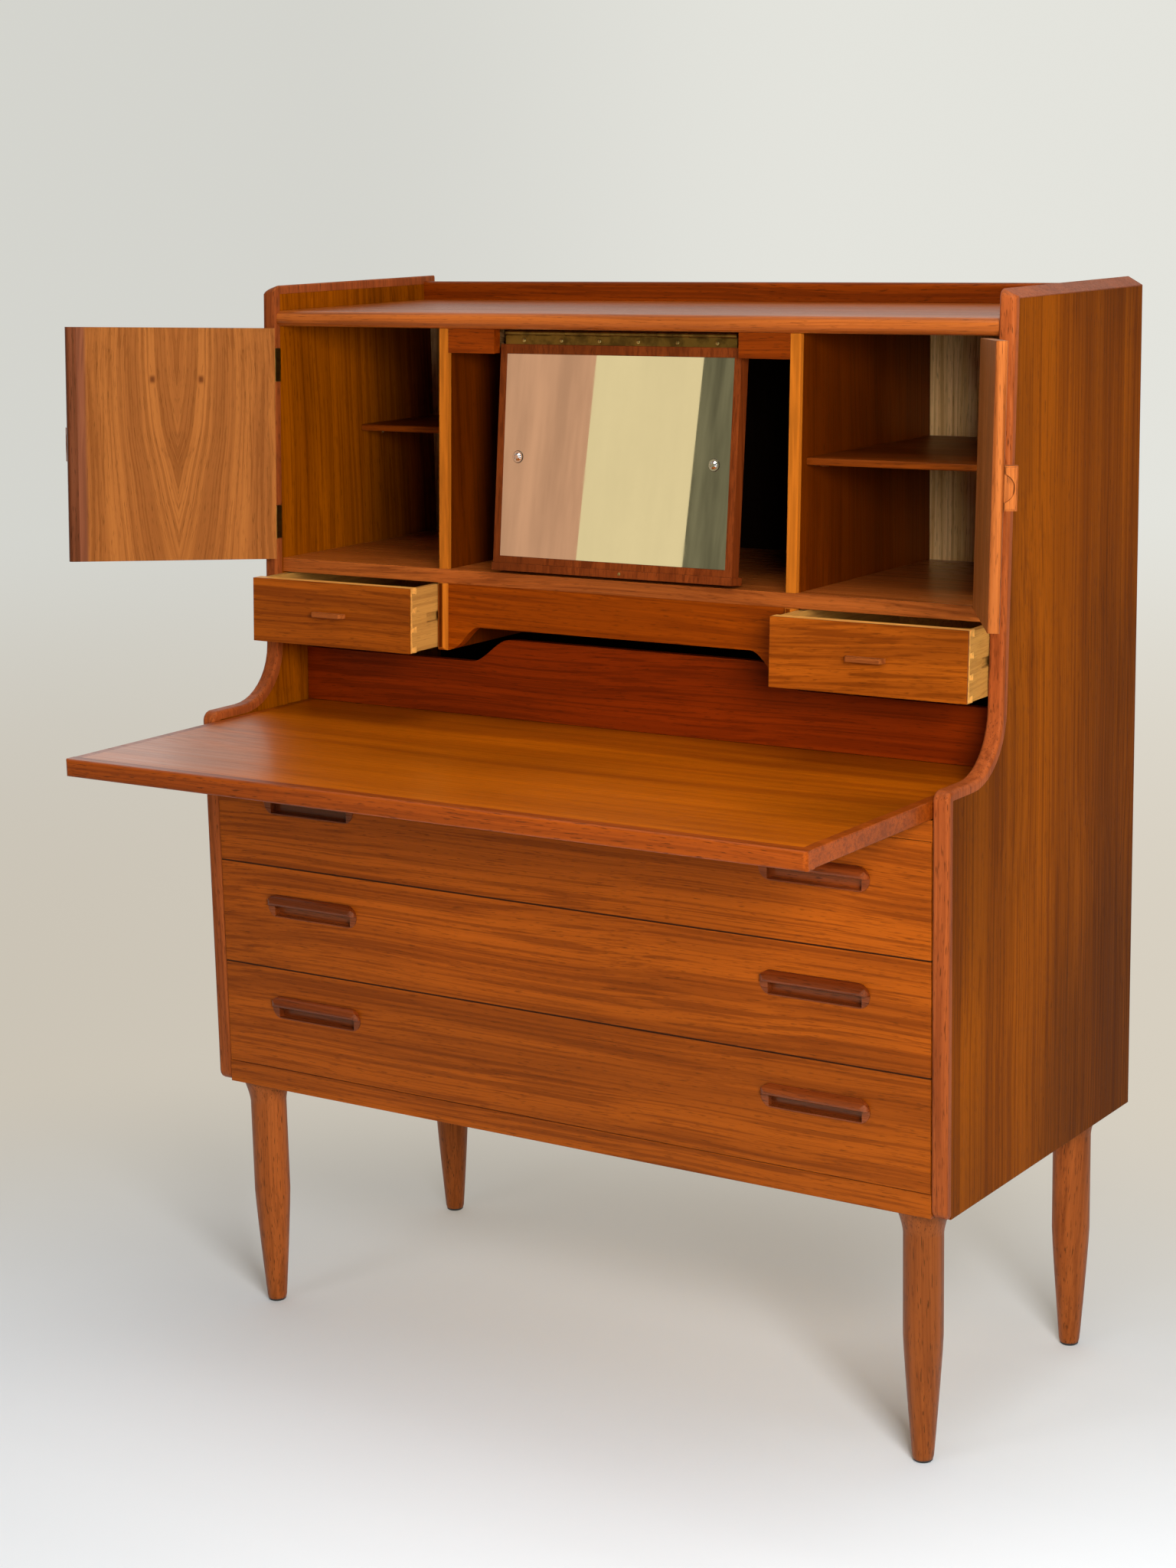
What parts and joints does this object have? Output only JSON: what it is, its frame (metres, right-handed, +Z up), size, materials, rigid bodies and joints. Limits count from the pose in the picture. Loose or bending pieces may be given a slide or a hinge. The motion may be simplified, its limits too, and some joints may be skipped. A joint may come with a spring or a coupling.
{
  "type": "secretary desk",
  "caption": "Teak secretary desk with a raked upper cabinet, hinged doors, folding mirror, sliding writing leaf, drawers and turned legs",
  "frame": {"origin": "on the floor under the middle of the desk's footprint, as it stands with doors, leaf and small drawers open", "axes": "+X to the viewer's right along the width, +Y to the back, +Z up"},
  "size_m": [1.2619, 0.727, 1.252],
  "materials": {
    "teak_side": "satin oiled teak veneer, grain upright",
    "teak_solid": "satin oiled solid teak, redder",
    "teak_top": "satin oiled teak veneer, grain across",
    "teak_rail": "satin oiled solid teak rails",
    "back_ply": "matt plywood back",
    "teak_inside": "satin teak veneer inside the cabinet",
    "teak_apron": "satin teak, grain across",
    "runner_wood": "plain hardwood runners",
    "teak_shelf": "satin teak shelf",
    "pin_steel": "plated steel pins and bolts",
    "teak_leg": "satin turned solid teak",
    "glide_black": "black plastic glides",
    "brass_hinge": "worn brass",
    "teak_door": "satin teak veneer, figured",
    "teak_door_lip": "satin solid teak lipping and pulls",
    "mirror_frame": "dark red-brown lacquered wood",
    "mirror_silver": "silvered glass",
    "cap_chrome": "polished domed caps",
    "teak_leaf": "satin teak veneer writing surface, grain across",
    "teak_leaf_lip": "satin solid teak lipping",
    "teak_riser": "satin solid teak, redder",
    "teak_small_front": "satin teak veneer, grain across",
    "drawer_pale": "pale yellow hardwood drawer linings",
    "teak_tab": "satin solid teak tab",
    "teak_wide_front": "satin teak veneer, grain across",
    "teak_grip": "satin solid teak grips"
  },
  "bodies": {
    "case": {"side_left": "teak_side", "side_right": "teak_side", "side_lippings": "teak_solid", "top_board": "teak_top", "gallery_rail": "teak_rail", "back_panel": "back_ply", "deck": "teak_top", "partitions": "teak_inside", "valances": "teak_rail", "mirror_runners": "runner_wood", "dividers": "teak_inside", "apron": "teak_apron", "drawer_runners": "runner_wood", "front_rails": "teak_wide_front", "leaf_bearers": "runner_wood", "bottom_panel": "back_ply", "shelf_left": "teak_shelf", "shelf_right": "teak_shelf", "shelf_pins": "pin_steel", "leg_front_left": "teak_leg", "leg_front_right": "teak_leg", "leg_back_left": "teak_leg", "leg_back_right": "teak_leg", "leg_bolts": "pin_steel", "glides": "glide_black", "door_hinge_frame_leaves": "brass_hinge"},
    "door_left": {"door_left_panel": "teak_door", "door_left_lipping": "teak_door_lip", "door_left_pull": "teak_door_lip", "door_left_hinge_leaves": "brass_hinge"},
    "door_right": {"door_right_panel": "teak_door", "door_right_lipping": "teak_door_lip", "door_right_pull": "teak_door_lip", "door_right_hinge_leaves": "brass_hinge"},
    "carriage": {"mirror_carriage": "runner_wood", "mirror_hinge_carriage_leaf": "brass_hinge"},
    "mirror": {"mirror_board": "mirror_frame", "mirror_glass": "mirror_silver", "mirror_hinge_leaf": "brass_hinge", "mirror_strip": "mirror_frame", "mirror_screws": "cap_chrome"},
    "leaf": {"leaf_board": "teak_leaf", "leaf_lipping": "teak_leaf_lip", "leaf_riser": "teak_riser", "leaf_cleats": "runner_wood"},
    "small_drawer_left": {"small_drawer_left_front": "teak_small_front", "small_drawer_left_box": "drawer_pale", "small_drawer_left_pull": "teak_tab"},
    "small_drawer_right": {"small_drawer_right_front": "teak_small_front", "small_drawer_right_box": "drawer_pale", "small_drawer_right_pull": "teak_tab"},
    "wide_drawer_top": {"wide_drawer_top_front": "teak_wide_front", "wide_drawer_top_box": "drawer_pale", "wide_drawer_top_pulls": "teak_grip"},
    "wide_drawer_middle": {"wide_drawer_middle_front": "teak_wide_front", "wide_drawer_middle_box": "drawer_pale", "wide_drawer_middle_pulls": "teak_grip"},
    "wide_drawer_bottom": {"wide_drawer_bottom_front": "teak_wide_front", "wide_drawer_bottom_box": "drawer_pale", "wide_drawer_bottom_pulls": "teak_grip"}
  },
  "joints": [
    {"name": "door_left_hinge", "type": "hinge", "parent": "case", "child": "door_left", "pos_m": [-0.46011, 0.02734, 1.06331], "axis": [0, 0.0523, 0.9986], "range_deg": [-19, 131]},
    {"name": "door_right_hinge", "type": "hinge", "parent": "case", "child": "door_right", "pos_m": [0.49989, 0.02734, 1.06331], "axis": [0, 0.0523, 0.9986], "range_deg": [-119.5, 30.5]},
    {"name": "mirror_slide", "type": "slide", "parent": "case", "child": "carriage", "axis": [0, 1, 0], "range_m": [0, 0.252]},
    {"name": "mirror_tilt", "type": "hinge", "parent": "carriage", "child": "mirror", "pos_m": [0.01989, 0.0625, 1.199], "axis": [-1, 0, 0], "range_deg": [0, 83.6]},
    {"name": "leaf_slide", "type": "slide", "parent": "case", "child": "leaf", "axis": [0, 1, 0], "range_m": [0, 0.257]},
    {"name": "small_drawer_left_slide", "type": "slide", "parent": "case", "child": "small_drawer_left", "axis": [0, -1, 0], "range_m": [-0.058, 0.15]},
    {"name": "small_drawer_right_slide", "type": "slide", "parent": "case", "child": "small_drawer_right", "axis": [0, -1, 0], "range_m": [-0.058, 0.15]},
    {"name": "wide_drawer_top_slide", "type": "slide", "parent": "case", "child": "wide_drawer_top", "axis": [0, -1, 0], "range_m": [0, 0.3]},
    {"name": "wide_drawer_middle_slide", "type": "slide", "parent": "case", "child": "wide_drawer_middle", "axis": [0, -1, 0], "range_m": [0, 0.3]},
    {"name": "wide_drawer_bottom_slide", "type": "slide", "parent": "case", "child": "wide_drawer_bottom", "axis": [0, -1, 0], "range_m": [0, 0.3]}
  ]
}
